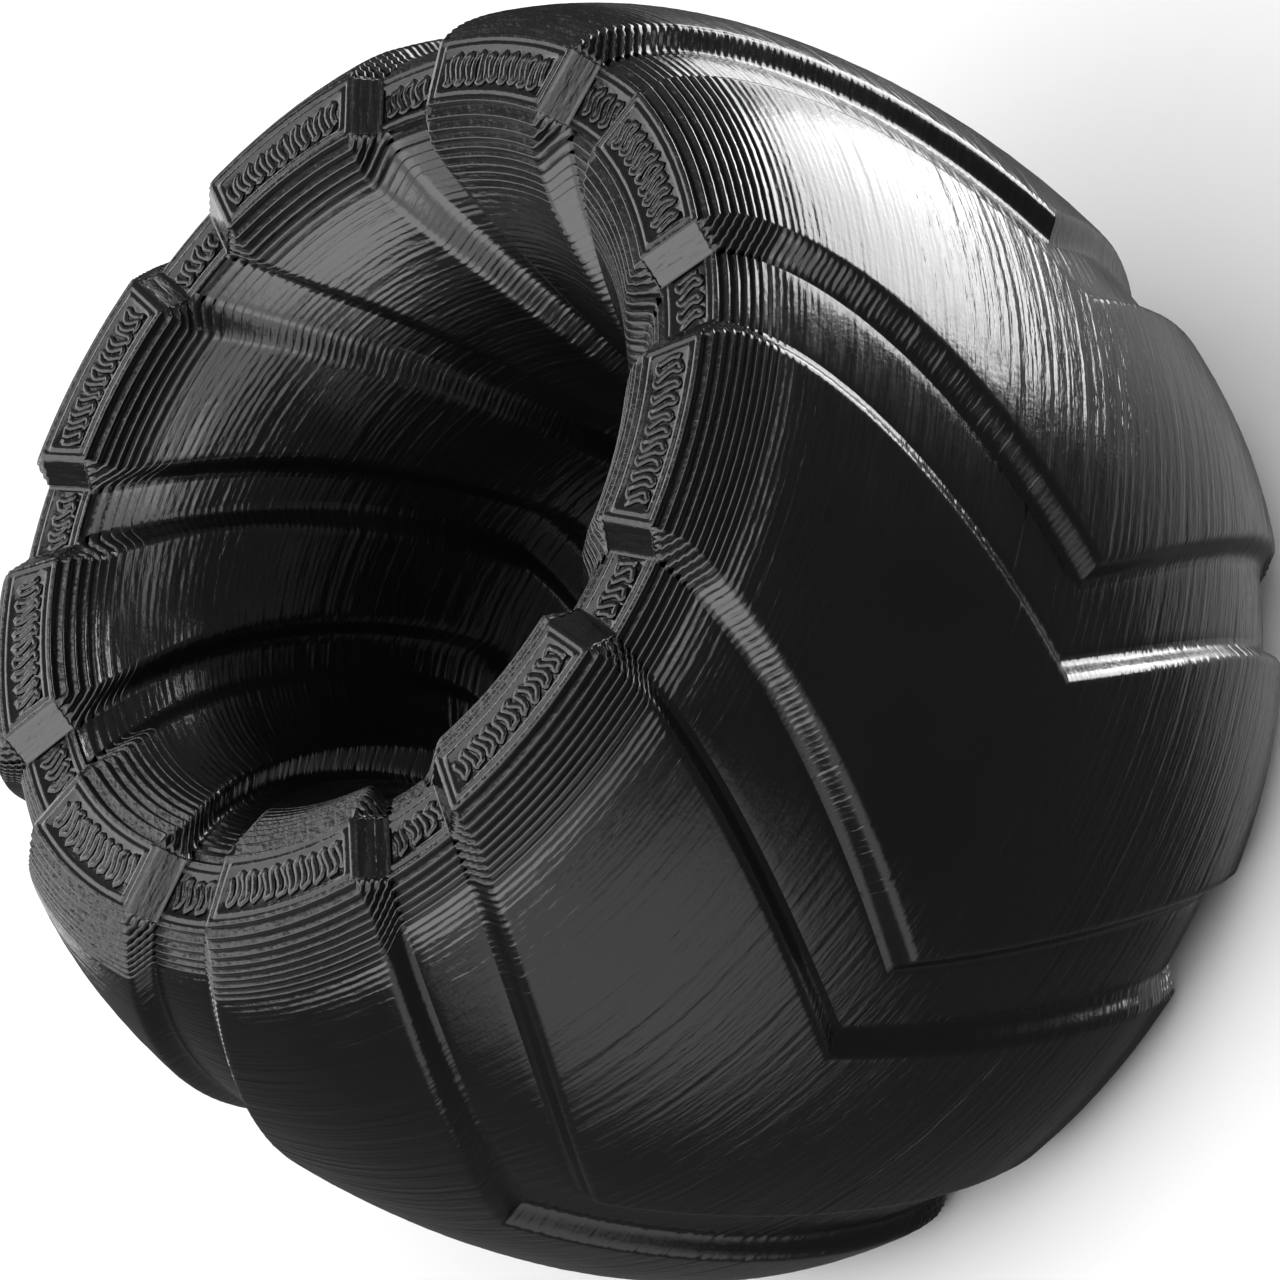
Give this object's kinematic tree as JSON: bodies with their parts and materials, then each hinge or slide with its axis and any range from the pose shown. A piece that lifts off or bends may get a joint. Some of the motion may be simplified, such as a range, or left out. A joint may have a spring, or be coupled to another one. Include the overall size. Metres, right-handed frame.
{
  "type": "watch case opening friction ball",
  "caption": "Soft black tyre-shaped ring ball with a chevron grip tread that wraps round the outside, over both lips and through the waisted hole.",
  "frame": {"origin": "centre of the ring, on its axis at mid height", "axes": "+Z along the ring's axis, so the ring lies flat on its lower lip; X and Y lie in the ring's plane, with the chevron tip of the first tread block on +X"},
  "size_m": [0.065, 0.065, 0.045],
  "materials": {
    "elastomer": "glossy printed elastomer with fine layer lines across the ring's axis",
    "infill": "matt printed elastomer infill, hidden inside the wall"
  },
  "bodies": {
    "root": {"infill_core": "infill", "ring_wall": "elastomer", "tread_block_1": "elastomer", "tread_block_2": "elastomer", "tread_block_3": "elastomer", "tread_block_4": "elastomer", "tread_block_5": "elastomer", "tread_block_6": "elastomer", "tread_block_7": "elastomer", "tread_block_8": "elastomer", "tread_block_9": "elastomer"}
  },
  "joints": []
}
